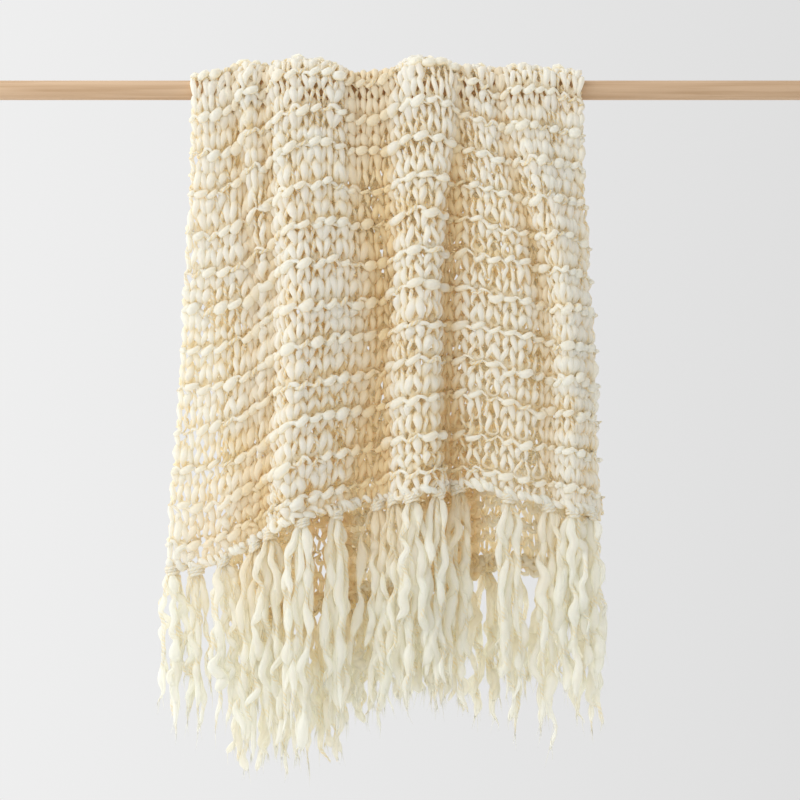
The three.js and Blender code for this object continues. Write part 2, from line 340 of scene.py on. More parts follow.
def maths(tree, operation, *values):
    return addNode(tree, "Math", dict(enumerate(values)), operation=operation).outputs[0]


def attribute(tree, name):
    return addNode(tree, "Attribute", {}, attribute_name=name).outputs["Fac"]


def mixedColour(tree, share, first, second):
    mix = addNode(tree, "Mix", {"Factor": share, "A": first, "B": second}, data_type="RGBA")
    return mix.outputs["Result"]


# Wool: soft cream fibre with painted warm shade deep in the fabric and in the folds, twisted where spun
# thin
woolLook = {
    "bright": {"knit": (0.966, 0.978, 0.943, 1), "fringe": (0.981, 0.981, 0.942, 1)},
    # The deep colour is painted shade: the warm dark between the yarns, where light bounces
    "deep": (0.988, 0.742, 0.31, 1),
    # Painted warm shade in the valleys between the folds
    "valley": (0.922, 0.75, 0.45, 1),
    "shadeRange": (0.31, 1.31),   # from bright to deep
    "through": {"knit": (0.976, 0.976, 0.914, 1), "fringe": (0.984, 0.982, 0.926, 1)},
    "throughShare": {"knit": 0.43, "fringe": 0.55},
    "roughness": 0.95,
    "gloss": 0.12,
    "sheen": 0.25,
    "sheenRoughness": 0.5,
    "sheenTint": (1.0, 0.96, 0.86, 1),
    "fibreScale": (45, 7, 1),
    "fibreDetail": 3,
    "fibreTone": 0.32,
    "fibreBump": (0.7, 0.8),   # strength, and height in millimetres
    "bumpRadius": 3.5,   # thinner yarn is less rough
    "twistPitch": 15.0,
    "twistPlies": 4.0,
    # Painted shade in the grooves between the plies
    "twistGrooveShade": 0.9,
    "twistSharpness": 2.0,
    "twistBump": (0.8, 1.5),
    "twistRise": 2.5,   # fades the twist only at the thinnest tips
    "patchScale": 24,
    "patchDetail": 2,
    "patchTone": 0.30,
}


# Fine streaks along the yarn
def woolFibres(tree, uv):
    stretch = addNode(tree, "Mapping", {"Vector": uv, "Scale": woolLook["fibreScale"]})
    noise = {"Vector": stretch.outputs["Vector"], "Scale": 1, "Detail": woolLook["fibreDetail"]}
    return addNode(tree, "TexNoise", noise).outputs["Fac"]


# Plies wound round the yarn, from 0 in a groove to 1 on the top of a ply
def woolPlies(tree, uv):
    split = addNode(tree, "SeparateXYZ", {"Vector": uv})
    turnsPerMetre = 1 / (woolLook["twistPitch"] * mm)
    spiral = maths(tree, "MULTIPLY_ADD", split.outputs["X"], turnsPerMetre, split.outputs["Y"])
    return maths(tree, "PINGPONG", maths(tree, "MULTIPLY", spiral, woolLook["twistPlies"]), 1.0)


# The colour: each point's painted shade, random patches, painted shade in the twist's grooves and fine
# streaks, then painted warm shade in the folds
def woolColour(tree, use, fibres, plies):
    coords = addNode(tree, "TexCoord", {})
    patch = {"Scale": woolLook["patchScale"], "Detail": woolLook["patchDetail"]}
    patchy = addNode(tree, "TexNoise", {"Vector": coords.outputs["Object"], **patch}).outputs["Fac"]
    depth = maths(tree, "MULTIPLY_ADD", patchy, woolLook["patchTone"], attribute(tree, "paintedShade"))
    groove = maths(tree, "POWER", maths(tree, "SUBTRACT", 1.0, plies), woolLook["twistSharpness"])
    thinGroove = maths(tree, "MULTIPLY", groove, attribute(tree, "thin"))
    withGrooveShade = maths(tree, "MULTIPLY_ADD", thinGroove, woolLook["twistGrooveShade"], depth)
    shadeAndStreaks = maths(tree, "MULTIPLY_ADD", fibres, woolLook["fibreTone"], withGrooveShade)
    brightEnd, deepShadeEnd = woolLook["shadeRange"]
    share = addNode(tree, "MapRange", {"Value": shadeAndStreaks, "From Min": brightEnd, "From Max": deepShadeEnd})
    yarn = mixedColour(tree, share.outputs["Result"], woolLook["bright"][use], woolLook["deep"])
    return mixedColour(tree, attribute(tree, "hollow"), yarn, woolLook["valley"])


def woolNormal(tree, fibres, plies):
    size = attribute(tree, "size")
    ruffled = maths(tree, "MULTIPLY", fibres, size)
    fade = maths(tree, "MINIMUM", maths(tree, "MULTIPLY", size, woolLook["twistRise"]), 1.0)
    twist = maths(tree, "MULTIPLY", plies, attribute(tree, "thin"))
    wound = maths(tree, "MULTIPLY", twist, fade)
    under = {}
    for height, (strength, rise) in ((ruffled, woolLook["fibreBump"]), (wound, woolLook["twistBump"])):
        inputs = {"Height": height, "Strength": strength, "Distance": rise * mm, **under}
        under = {"Normal": addNode(tree, "Bump", inputs).outputs["Normal"]}
    return under["Normal"]


def woolMaterial(use):
    material = bpy.data.materials.new(use + "Wool")
    material.use_nodes = True
    tree = material.node_tree
    uv = addNode(tree, "UVMap", {}, uv_map="yarn").outputs["UV"]
    fibres, plies = woolFibres(tree, uv), woolPlies(tree, uv)
    shader = tree.nodes["Principled BSDF"]
    setInputs(tree, shader, {
        "Base Color": woolColour(tree, use, fibres, plies),
        "Normal": woolNormal(tree, fibres, plies),
        "Roughness": woolLook["roughness"],
        "Specular IOR Level": woolLook["gloss"],
        "Sheen Weight": woolLook["sheen"],
        "Sheen Roughness": woolLook["sheenRoughness"],
        "Sheen Tint": woolLook["sheenTint"],
    })
    # Light also passes through the loose fibre
    through = addNode(tree, "BsdfTranslucent", {"Color": woolLook["through"][use]})
    both = addNode(tree, "MixShader", {
        "Fac": woolLook["throughShare"][use], 1: shader.outputs["BSDF"], 2: through.outputs["BSDF"],
    })
    setInputs(tree, tree.nodes["Material Output"], {"Surface": both.outputs["Shader"]})
    return material


knitWool = woolMaterial("knit")
fringeWool = woolMaterial("fringe")


# Spinning: how thick the thin, the usual and the fat stretches of the yarn are, and how common
spinning = {
    "thin": (0.38, 0.60),
    "usual": (0.80, 1.06),
    "fat": (1.12, 1.55),
    "thinTo": 0.26,
    "usualTo": 0.72,
    "twisted": (0.80, 0.50),   # from no twist to a full twist
}


def slubDraw(rng, shape):
    pick = rng.random(shape)
    thin, usual, fat = (rng.uniform(*spinning[kind], shape) for kind in ("thin", "usual", "fat"))
    return np.where(pick < spinning["thinTo"], thin, np.where(pick < spinning["usualTo"], usual, fat))


# From 0 on thick yarn to 1 on yarn that is spun thin
def thinShare(slub, limits):
    thick, thin = limits
    return np.clip((thick - slub) / (thick - thin), 0, 1)


# Knitting: bands of two smooth rows and one purl row, worked from the front hem, in millimetres
knit = {
    "stitches": 36,
    "bands": 27,
    "castOn": 7.0,
    "smoothHeight": 24.5,
    "purlHeight": 8.0,
    "lastHeight": 16.0,
    "yarnRadius": 4.65,
    "rings": 14,   # for each stitch, as are the steps
    "straySteps": 2,
    "slubSteps": 3,
    "sides": 7,
    "loopLean": 0.215,
    "ridgeTilt": 6.5,
    "endTaper": 0.4,
    "seed": 11,
    # How far a loop strays: shares of its lean, its width and its tilt, and millimetres
    "stray": {"lean": 0.22, "across": 0.05, "tilt": 0.3, "rise": 1.3, "ridge": 2.4, "out": 0.8},
    # How far a whole stretch of cloth strays along and out, with the cells across and along
    "rowStray": (3.5, (9, 40)),
    "liftStray": (2.5, (8, 20)),
    # Painted shade of the wool on the sides, the faces, the raised faces and the hidden inside of a loop
    "paintedShade": {"side": 0.40, "face": 0.30, "raised": 0.75, "inside": 0.28, "most": 0.8, "fullRise": 8.0},
}
# Levels in a loop from its foot to its head, and for each kind of row how far the yarn stands out of the
# middle of the cloth there, how thick it is, and how far foot and head go past the row's own height
loopLevels = (-1.0, -0.72, -0.3, 0.3, 0.72, 1.0)
rowKinds = {
    "upper": {
        "out": (-4.2, -1.0, 3.4, 2.8, -2.0, -4.2),
        "swell": (0.9, 0.68, 1.08, 1.24, 0.82, 0.9),
        "reach": (4.0, 6.0),
        "leastShade": 0.02,
        "ridge": 0,   # no end of the loop lies in a ridge
    },
    "lower": {
        "out": (-4.2, 0.0, 3.6, 2.8, 3.0, 6.4),
        "swell": (0.9, 0.68, 1.08, 1.24, 0.70, 0.62),
        "reach": (6.0, 0.5),
        "leastShade": 0.02,
        "ridge": 1,   # its head does
    },
    "purl": {
        "out": (10.0, 5.4, -2.8, -3.8, -4.2, -4.2),
        "swell": (1.3, 0.84, 0.9, 0.9, 0.95, 1.0),
        "reach": (1.8, 6.0),
        "leastShade": 0.10,
        "ridge": -1,   # its foot does
    },
}
# Where the knitting hangs slack its yarn is drawn thin and the holes open, elsewhere it is fuller
slackAreas = (
    {"across": 0.07, "run": 0.07, "wide": 0.10, "tall": 0.15, "thin": 0.15},
    {"across": 0.47, "run": 0.06, "wide": 0.05, "tall": 0.10, "thin": 0.16},
    {"across": 0.83, "run": 0.05, "wide": 0.16, "tall": 0.09, "thin": 0.18},
    {"across": 0.76, "run": 0.29, "wide": 0.10, "tall": 0.15, "thin": 0.26},
    {"across": 0.65, "run": 0.37, "wide": 0.03, "tall": 0.08, "thin": 0.22},
    {"across": 0.91, "run": 0.26, "wide": 0.03, "tall": 0.06, "thin": 0.24},
    {"across": 0.32, "run": 0.05, "wide": 0.09, "tall": 0.11, "thin": -0.12},
    {"across": 0.08, "run": 0.28, "wide": 0.09, "tall": 0.13, "thin": -0.10},
    {"across": 0.50, "run": 0.97, "wide": 0.40, "tall": 0.09, "thin": 0.15},
)
# Below the rod the columns of stitches lean to the right along the slanting fold
slant = {"start": 0.42, "most": 0.82, "top": 0.455, "tall": 0.14, "shift": 0.05}


def knitRows():
    heights = [knit["smoothHeight"]]
    kinds = ["lower"]
    for _ in range(knit["bands"] - 1):
        heights += [knit["purlHeight"], knit["smoothHeight"], knit["smoothHeight"]]
        kinds += ["purl", "upper", "lower"]
    heights += [knit["purlHeight"], knit["lastHeight"]]
    kinds += ["purl", "upper"]
    return np.array(heights), kinds


def knitLength():
    return knitRows()[0].sum() + knit["castOn"]


def slantedColumns(across, run):
    aside = np.interp(across, (slant["start"], slant["most"], 1), (0, 1, 0))
    down = np.clip((slant["top"] - run) / slant["tall"], 0, 1)
    return across + slant["shift"] * eased(aside) * down


def slackness(across, run):
    thin = np.zeros_like(across)
    for area in slackAreas:
        aside = ((across - area["across"]) / area["wide"]) ** 2
        apart = ((run - area["run"]) / area["tall"]) ** 2
        thin = thin + area["thin"] * np.exp(-aside - apart)
    return thin


def yarnRows(kind, name):
    look, off, shade = rowKinds[kind], knit["stray"], knit["paintedShade"]
    heights, kinds = knitRows()
    bases = knit["castOn"] + np.concatenate([[0], np.cumsum(heights)[:-1]])
    chosen = np.array([j for j, k in enumerate(kinds) if k == kind])
    rng = np.random.default_rng(knit["seed"] + len(name))
    shared = np.random.default_rng(knit["seed"])
    count, stitches, total = len(chosen), knit["stitches"], knitLength()
    rings = stitches * knit["rings"] + 1
    place = np.linspace(0, stitches, rings)
    level = -np.cos(place * 2 * math.pi)

    def unevenness(size):
        return wander(rng, count, stitches * knit["straySteps"], rings, normalDraw(size))

    # The loops, flat: across in shares of the width, and rise in millimetres from the front hem
    lean = knit["loopLean"] * (1 + unevenness(off["lean"]))
    across = (place + lean * np.sin(place * 4 * math.pi) + unevenness(off["across"])) / stitches
    half = heights[chosen][:, None] / 2
    swing = half + np.where(level < 0, *look["reach"])
    rise = bases[chosen][:, None] + half + swing * level + unevenness(off["rise"])
    tilt = knit["ridgeTilt"] * (1 + unevenness(off["tilt"]))
    wave = unevenness(off["ridge"]) + tilt * np.sin(place * 2 * math.pi)
    rise = rise + np.clip(look["ridge"] * level, 0, 1) * wave
    rowStray, rowCells = knit["rowStray"]
    rise = rise + rowStray * stray(shared, rowCells, across, rise / total)

    # The loops on the drape
    run = rise / total
    across = slantedColumns(across, run)
    liftStray, liftCells = knit["liftStray"]
    out = np.interp(level, loopLevels, look["out"]) + unevenness(off["out"])
    out = (out + liftStray * stray(shared, liftCells, across, run)) * mm
    slub = wander(rng, count, stitches * knit["slubSteps"], rings, slubDraw)
    radii = knit["yarnRadius"] * mm * slub * np.interp(level, loopLevels, look["swell"])
    radii = radii * (1 - slackness(across, run))
    radii[:, [0, -1]] *= knit["endTaper"]
    paths, normals = onCloth(across, run, out)

    # Painted shade: the sides and the hidden inside of a loop darker, raised outer faces lighter
    def paintedShade(spoke):
        facing = (spoke * normals[:, :, None, :]).sum(-1)
        lift = np.clip(out / (shade["fullRise"] * mm), -1, 1)[..., None]
        outside = shade["face"] * np.abs(facing) + shade["raised"] * facing * lift
        inside = shade["inside"] * np.clip(-facing, 0, 1)
        return np.clip(shade["side"] - outside + inside, look["leastShade"], shade["most"])

    # Painted warm shade in the valleys between the folds
    hollow = gridSample(gridFoldShade, across, run)[..., 0]
    return tubePiece(name, knitWool, paths, normals, radii, knit["sides"], paintedShade,
                     thin=thinShare(slub, spinning["twisted"]), hollow=hollow)


smoothRowsUpper = yarnRows("upper", "smoothRowsUpper")
smoothRowsLower = yarnRows("lower", "smoothRowsLower")
purlRidges = yarnRows("purl", "purlRidges")
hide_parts("throw")

# Hem edges: two yarns twisted round each other along the first and the last row, in millimetres
edge = {
    "yarnRadius": 4.3,
    "up": 5.0,
    "swing": 5.0,
    "forward": 1.5,
    "deep": 4.5,
    "rings": 12,   # for each stitch
    "sides": 7,
    "endTaper": 0.4,
    "seed": 5,
    "stray": {"phase": 0.6, "across": 0.003, "rise": 1.8, "out": 0.8},
    # These values set the painted shade of the hem yarn
    "paintedShade": {"side": 0.32, "face": 0.30, "raised": 0.30, "most": 0.7, "fullRise": 7.0},
}


def hemEdges():
    rng = np.random.default_rng(edge["seed"])
    off, shade = edge["stray"], edge["paintedShade"]
    front = np.array([True, True, False, False])[:, None]
    phases = np.array([0, math.pi, 0, math.pi])[:, None]
    count, stitches = len(front), knit["stitches"]
    rings = stitches * edge["rings"] + 1

    def unevenness(size):
        return wander(rng, count, stitches * knit["straySteps"], rings, normalDraw(size))

    phase = phases + unevenness(off["phase"])
    turn = np.linspace(0, stitches, rings) * 2 * math.pi
    across = np.linspace(0, 1, rings) + unevenness(off["across"])
    rise = (edge["up"] + edge["swing"] * np.cos(turn + phase) + unevenness(off["rise"])) / knitLength()
    run = np.where(front, rise, 1 - rise)
    out = (edge["deep"] * np.sin(turn + phase) + edge["forward"] + unevenness(off["out"])) * mm
    slub = wander(rng, count, stitches * knit["slubSteps"], rings, slubDraw)
    radii = edge["yarnRadius"] * mm * slub
    radii[:, [0, -1]] *= edge["endTaper"]
    paths, normals = onCloth(across, run, out)

    # Painted shade: the sides and inner faces of the hem yarn darker, raised outer faces lighter
    def paintedShade(spoke):
        facing = (spoke * normals[:, :, None, :]).sum(-1)
        lift = np.clip(out / (shade["fullRise"] * mm), -1, 1)[..., None]
        outside = shade["face"] * facing + shade["raised"] * facing * lift
        return np.clip(shade["side"] - outside, 0, shade["most"])

    return tubePiece("hemEdges", knitWool, paths, normals, radii, edge["sides"], paintedShade,
                     thin=thinShare(slub, spinning["twisted"]))


hemRopes = hemEdges()
print("knitting made")


# Fringe: the fold line each tassel hangs at and its length below the knot, as on the solids
fringe = {
    "front": (
        (0.3, 258), (1, 250), (1.9, 262), (4, 325), (5.25, 325), (7, 345), (8, 335), (9.6, 345),
        (10.5, 320), (11.5, 320), (13, 318), (14.5, 340),
        (15.65, 335), (16.9, 372), (17.85, 290), (18.5, 266),
    ),
    "back": (
        (0.5, 240), (2, 246), (4, 252), (6, 244), (7, 262), (8, 256), (9, 268), (10, 252),
        (11, 262), (12, 248), (13, 266), (14, 254), (15, 272), (16, 262), (17.5, 246), (18.5, 232),
    ),
    "probe": (0.02, 0.002),   # steps across and along the cloth that give its directions
    "top": 8.0,
    "strands": 7,
    "rings": 62,
    "sides": 6,
    "yarnRadius": 4.7,
    "sizes": (0.68, 1.08),
    "twisted": (0.95, 0.60),   # from no twist to a full twist
    "seed": 23,
    # Lengths of the first, the second and the other strands, and of the middle of the back fringe
    "shares": (1.02, 0.93, (0.58, 0.98)),
    "backShares": ((6.5, 8, 13, 16), (1, 0.72, 0.72, 1)),
    # Roots lie on a spiral, and the strands spread out below it
    "rootTurn": 2.4,
    "rootStart": 6.3,
    "rootAcross": 8.5,
    "rootDeep": 6.0,
    "opening": ((0, 0.05, 0.14, 0.5, 1), (0.7, 1.7, 2.4, 2.7, 2.9)),
    "openingDeep": 0.8,
    # Waves down a strand, and how far a strand and a whole tassel hang aslant
    "sway": 4.3,
    "swaySteps": 10,
    "swayStart": 8,
    "lean": 6.0,
    "leanDeep": 0.5,
    "tilt": 5.0,
    # Some strands end in a short cut, the others fray
    "cutShare": 0.4,
    "cutEnd": 16,
    "frayedEnd": (5, 0.7),
    "leastEnd": 0.05,
    # Painted shade towards the inside of the tassel, and painted warm shade in the folds
    "sideShade": 0.12,
    "innerShade": 0.10,
    "innerShare": 0.6,
    "foldShare": 0.7,
    "hollowFolds": (6, 9, 14, 17),
    "leastFoldShade": {"front": (0.0, 0.15, 0.15, 0.0), "back": (0.15, 0.25, 0.25, 0.15)},
    "hollowFade": ((0, 0.2, 0.5), (1, 0.55, 0)),
}
# Thick-and-thin stretches of a strand in millimetres, and how often one fat stretch follows another
fringeSpinning = {
    "step": (13, 50),
    "root": (0.6, 0.9),
    "fat": (1.05, 1.95),
    "thin": (0.42, 0.78),
    "fatFirst": 0.75,
    "fatAgain": 0.25,
    "fuller": 0.2,
}
# Loose fibres: wisps at the frayed ends, and fuzz along the whole strand
wisp = {
    "fibres": 8, "rings": 5, "radius": 0.75,
    "length": (10.0, 30.0), "spread": (-0.05, 0.28), "part": 0.5,
}
fuzz = {
    "fibres": 24, "rings": 3, "radius": 0.30,
    "length": (7.0, 18.0), "spread": (0.05, 0.34), "part": 0.96,
}
loose = {
    "sides": 3,
    "towardsTip": 1.5,
    "rootDeep": 0.75,
    "curl": 0.10,
    "taper": ((0, 0.3, 1), (1, 0.8, 0.12)),
    "paintedShade": 0.05,
}


# Each tassel's place on the hem, with the directions along the hem and out of the cloth there
def hemPlaces(side):
    foldStep, runStep = fringe["probe"]
    run, inward = (0.0, runStep) if side == "front" else (1.0, -runStep)
    folds = np.array([row[0] for row in fringe[side]], float)
    points = sheetPoint(folds, run)
    right = unit(sheetPoint(folds + foldStep, run) - points)
    outward = unit(np.cross(right, sheetPoint(folds, run + inward) - points))
    return points, right, outward if side == "front" else -outward


# Fat and thin stretches take turns down a strand, softer and fuller towards its end
def fringeSlubs(rng, reach, below):
    slubs = np.empty((len(reach), len(below)))
    for k, length in enumerate(reach):
        places, sizes = [0.0], [rng.uniform(*fringeSpinning["root"])]
        isFat = rng.random() < fringeSpinning["fatFirst"]
        while places[-1] < length:
            places.append(places[-1] + rng.uniform(*fringeSpinning["step"]))
            sizes.append(rng.uniform(*fringeSpinning["fat" if isFat else "thin"]))
            isFat = not isFat or rng.random() < fringeSpinning["fatAgain"]
        i = np.clip(np.searchsorted(places, below * length) - 1, 0, len(places) - 2)
        starts, steps = np.array(places)[i], np.diff(places)[i]
        t = eased((below * length - starts) / steps)
        slubs[k] = np.array(sizes)[i] * (1 - t) + np.array(sizes)[i + 1] * t
    return slubs * (1 + fringeSpinning["fuller"] * below ** 2)


# Length of each strand in millimetres
def strandReach(rng, side, order):
    longest, second, others = fringe["shares"]
    share = np.select([order == 0, order == 1], [longest, second], rng.uniform(*others, len(order)))
    folds, falls = (np.repeat(column, fringe["strands"]) for column in zip(*fringe[side]))
    if side == "back":
        share = share * np.interp(folds, *fringe["backShares"])
    return falls * share


# How far each strand hangs aside and forward of its root, in millimetres
def strandSpread(rng, turn, ring, below):
    total, strands = len(turn), fringe["strands"]
    opening = np.interp(below, *fringe["opening"])
    tassels = rng.normal(0, fringe["tilt"], (2, total // strands, 1))
    leans = rng.normal(0, fringe["lean"], (2, total, 1))
    leans[1] *= fringe["leanDeep"]
    tilt = (np.repeat(tassels, strands, axis=1) + leans) * below

    def drift():
        waves = wander(rng, total, fringe["swaySteps"], len(below), normalDraw(fringe["sway"]))
        return waves * np.minimum(below * fringe["swayStart"], 1)

    aside = (np.cos(turn) * ring * fringe["rootAcross"])[:, None] * opening
    forward = (np.sin(turn) * ring * fringe["rootDeep"])[:, None] * opening * fringe["openingDeep"]
    return aside + drift() + tilt[0], forward + drift() + tilt[1]


def strandEnds(rng, total, below):
    left = 1 - below
    cut = np.sqrt(np.clip(left * fringe["cutEnd"], 0, 1))
    steep, power = fringe["frayedEnd"]
    frayed = np.clip(left * steep, 0, 1) ** power
    ends = np.where(rng.random((total, 1)) < fringe["cutShare"], cut, frayed)
    return np.maximum(ends, fringe["leastEnd"])


# Painted warm shade of the fold at each tassel's root, fading down its strands
def strandFoldShade(side, points, below):
    hemRow = 0 if side == "front" else -1
    nearest = np.abs(gridPoints[hemRow, :, 0] - points[:, :1]).argmin(1)
    folds = [row[0] for row in fringe[side]]
    least = np.interp(folds, fringe["hollowFolds"], fringe["leastFoldShade"][side])
    inFold = np.maximum(gridFoldShade[hemRow, nearest, 0] * fringe["foldShare"], least)
    return np.repeat(inFold, fringe["strands"])[:, None] * np.interp(below, *fringe["hollowFade"])


# Loose fibre ends along the strands, most of them near the tips
def looseFibres(name, look, rng, paths, radii):
    total, rings = radii.shape
    owner = np.repeat(np.arange(total), look["fibres"])
    count = len(owner)
    up = rng.random(count) ** loose["towardsTip"] * rings * look["part"]
    start = rings - 2 - up.astype(int)
    turn = rng.uniform(0, 2 * math.pi, count)
    side = np.stack([np.cos(turn), np.sin(turn), np.zeros(count)], -1)
    t = np.linspace(0, 1, look["rings"])[None, :, None]
    length = rng.uniform(*look["length"], (count, 1, 1)) * mm
    spread = rng.uniform(*look["spread"], (count, 1, 1))
    curl = rng.normal(0, loose["curl"], (count, 1, 3)) * t * t
    root = paths[owner, start] + side * (radii[owner, start] * loose["rootDeep"])[:, None]
    fibres = root[:, None] + length * (t * np.array([0, 0, -1.0]) + t * spread * side[:, None] + curl)
    thickness = look["radius"] * mm * np.interp(t[0, :, 0], *loose["taper"])
    guides = np.repeat(side[:, None], look["rings"], axis=1)
    sizes = np.repeat(thickness[None], count, axis=0)

    def paintedShade(spoke):
        return np.full(spoke.shape[:3], loose["paintedShade"])

    return tubePiece(name, fringeWool, fibres, guides, sizes, loose["sides"], paintedShade)


def fringeStrands(side):
    rng = np.random.default_rng(fringe["seed"] + len(side))
    points, _, outward = hemPlaces(side)
    strands, rings = fringe["strands"], fringe["rings"]
    below = np.linspace(0, 1, rings)
    order = np.tile(np.arange(strands), len(points))
    starts = np.repeat(rng.uniform(0, fringe["rootStart"], len(points)), strands)
    turn = order * fringe["rootTurn"] + starts
    ring = np.sqrt((order + 0.5) / strands)
    reach = strandReach(rng, side, order)
    aside, forward = strandSpread(rng, turn, ring, below)
    paths = np.repeat(np.repeat(points, strands, axis=0)[:, None, :], rings, axis=1)
    paths[..., 0] += aside * mm
    paths[..., 1] += forward * mm
    paths[..., 2] -= (fringe["top"] + below * (reach[:, None] - fringe["top"])) * mm

    slub = fringeSlubs(rng, reach, below)
    ends = strandEnds(rng, len(order), below)
    slub = slub * rng.uniform(*fringe["sizes"], (len(order), 1))
    radii = fringe["yarnRadius"] * mm * slub * ends
    guides = np.repeat(np.repeat(outward, strands, axis=0)[:, None, :], rings, axis=1)
    facing = 1 if side == "front" else -1
    inner = np.clip(0.5 + np.sin(turn) * ring * facing * fringe["innerShare"], 0, 1)[:, None, None]

    # Painted shade: darker on each strand's side that faces into the throw, and on the strands nearer
    # the inside
    def paintedShade(spoke):
        return np.clip(fringe["sideShade"] * spoke[..., 1] * facing + fringe["innerShade"] * inner, 0, 1)

    name = side.capitalize()
    piece = tubePiece("fringe" + name, fringeWool, paths, guides, radii, fringe["sides"], paintedShade,
                      thin=thinShare(slub, fringe["twisted"]), hollow=strandFoldShade(side, points, below))
    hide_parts(*[node for node in tasselNodes if "_" + side + "_" in node])
    wisps = looseFibres("wisps" + name, wisp, rng, paths, radii)
    return piece, wisps, looseFibres("fuzz" + name, fuzz, rng, paths, radii)


# Knots: a band of thin yarn wound round each tassel, and the loops that take it through the hem
knot = {
    "yarnRadius": 2.6,
    "slubs": (0.8, 1.4),
    "slubSteps": 9,
    "rings": 40,
    "sides": 6,
    "endTaper": 0.3,
    "seed": 69,
    "across": 10.0,
    "deep": 8.5,
    "turns": 2.4,
    "pitch": 4.4,
    "tilt": 0.3,
    "acrossStray": (0.9, 1.15),
    "deepStray": (0.9, 1.1),
    "loopShift": 4.5,
    "loopUp": 13.0,
    "loopDown": 7.0,
    "loopDeep": 8.0,
    "loopRound": 0.8,
    "loopStray": (0.85, 1.15),
    "upright": (0.01, 0.02, 1.0),   # steers the sides of the yarn and is never quite in line with it
    "thin": 0.5,
    # How much painted shade the knot yarn gets on its sides and inner faces
    "paintedShade": {"side": 0.26, "face": 0.30, "most": 0.7},
}


def knotBands(rng, points, right, outward, t):
    count = (len(points), 1)
    angle = t * knot["turns"] * 2 * math.pi
    tilt = rng.uniform(-knot["tilt"], knot["tilt"], count)
    x = knot["across"] * np.cos(angle) * rng.uniform(*knot["acrossStray"], count)
    y = knot["deep"] * np.sin(angle) * rng.uniform(*knot["deepStray"], count)
    bands = points[:, None] + (right[:, None] * x[..., None] + outward[:, None] * y[..., None]) * mm
    bands[..., 2] += (tilt * x - knot["pitch"] * t * knot["turns"]) * mm
    return bands


def knotLoops(rng, points, right, outward, t, shift):
    arc = (t * 2 - 1) * math.pi / 2
    up = knot["loopUp"] * np.cos(arc) ** knot["loopRound"]
    loops = points[:, None] + right[:, None] * shift * mm
    loops = loops + outward[:, None] * (knot["loopDeep"] * mm * np.sin(arc))[:, None]
    loops[..., 2] += (up * rng.uniform(*knot["loopStray"], (len(points), 1)) - knot["loopDown"]) * mm
    return loops


def fringeKnots(side):
    rng = np.random.default_rng(knot["seed"] + len(side))
    points, right, outward = hemPlaces(side)
    rings, shade = knot["rings"], knot["paintedShade"]
    t = np.linspace(0, 1, rings)
    yarns = [knotBands(rng, points, right, outward, t)]
    for shift in (-knot["loopShift"], knot["loopShift"]):
        yarns.append(knotLoops(rng, points, right, outward, t, shift))
    paths = np.concatenate(yarns)
    slubs = wander(rng, len(paths), knot["slubSteps"], rings,
                   lambda draws, shape: draws.uniform(*knot["slubs"], shape))
    radii = knot["yarnRadius"] * mm * slubs
    radii[:, [0, -1]] *= knot["endTaper"]
    guides = np.tile(knot["upright"], (len(paths), rings, 1))
    away = np.tile(outward, (len(yarns), 1))[:, None, None, :]

    # Painted shade: the knot yarn darker where it faces into the tassel
    def paintedShade(spoke):
        return np.clip(shade["side"] - shade["face"] * (spoke * away).sum(-1), 0, shade["most"])

    return tubePiece("knots" + side.capitalize(), knitWool, paths, guides, radii, knot["sides"], paintedShade,
                     thin=np.full(radii.shape, knot["thin"]))


fringeFront, wispsFront, fuzzFront = fringeStrands("front")
fringeBack, wispsBack, fuzzBack = fringeStrands("back")
knotsFront = fringeKnots("front")
knotsBack = fringeKnots("back")
print("fringe made")


# Rod: turned pale wood with its ends eased
rodShape = {"length": 1300.0, "segments": 96, "easedEdge": 1.2, "edgeSegments": 3}
rodLook = {
    "pale": (0.60, 0.418, 0.267, 1),
    "dark": (0.463, 0.297, 0.167, 1),
    "roughness": 0.6,
    "gloss": 0.2,
    "grainScale": (4, 160, 160),
    "grainDetail": 5,
    "grainRange": (0.3, 0.62),
    "grainBump": (0.15, 0.3),   # strength, and height in millimetres
}


def woodMaterial():
    material = bpy.data.materials.new("paleWood")
    material.use_nodes = True
    tree = material.node_tree
    coords = addNode(tree, "TexCoord", {})
    place = {"Vector": coords.outputs["Object"], "Scale": rodLook["grainScale"]}
    stretch = addNode(tree, "Mapping", place)
    noise = {"Vector": stretch.outputs["Vector"], "Scale": 1, "Detail": rodLook["grainDetail"]}
    grain = addNode(tree, "TexNoise", noise).outputs["Fac"]
    ramp = addNode(tree, "ValToRGB", {"Fac": grain})
    colours = (rodLook["dark"], rodLook["pale"])
    for stop, position, colour in zip(ramp.color_ramp.elements, rodLook["grainRange"], colours):
        stop.position = position
        stop.color = colour
    strength, rise = rodLook["grainBump"]
    bump = addNode(tree, "Bump", {"Height": grain, "Strength": strength, "Distance": rise * mm})
    setInputs(tree, tree.nodes["Principled BSDF"], {
        "Base Color": ramp.outputs["Color"],
        "Normal": bump.outputs["Normal"],
        "Roughness": rodLook["roughness"],
        "Specular IOR Level": rodLook["gloss"],
    })
    return material


def woodRod():
    shape = bmesh.new()
    radius = drape["rodRadius"] * mm
    bmesh.ops.create_cone(shape, cap_ends=True, segments=rodShape["segments"],
                          radius1=radius, radius2=radius, depth=rodShape["length"] * mm)
    rims = [rim for rim in shape.edges if len({round(vert.co.z, 6) for vert in rim.verts}) == 1]
    bmesh.ops.bevel(shape, geom=rims, offset=rodShape["easedEdge"] * mm, affect="EDGES",
                    segments=rodShape["edgeSegments"], profile=0.5, material=-1)
    for vert in shape.verts:
        vert.co = Vector((vert.co.z, vert.co.x, vert.co.y))
    mesh = bpy.data.meshes.new("woodRod")
    shape.to_mesh(mesh)
    shape.free()
    mesh.shade_smooth()
    mesh.materials.append(woodMaterial())
    piece = bpy.data.objects.new("woodRod", mesh)
    scene.collection.objects.link(piece)
    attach(piece, "root")
    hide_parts("rod")
    return piece


rod = woodRod()
print("rod made")


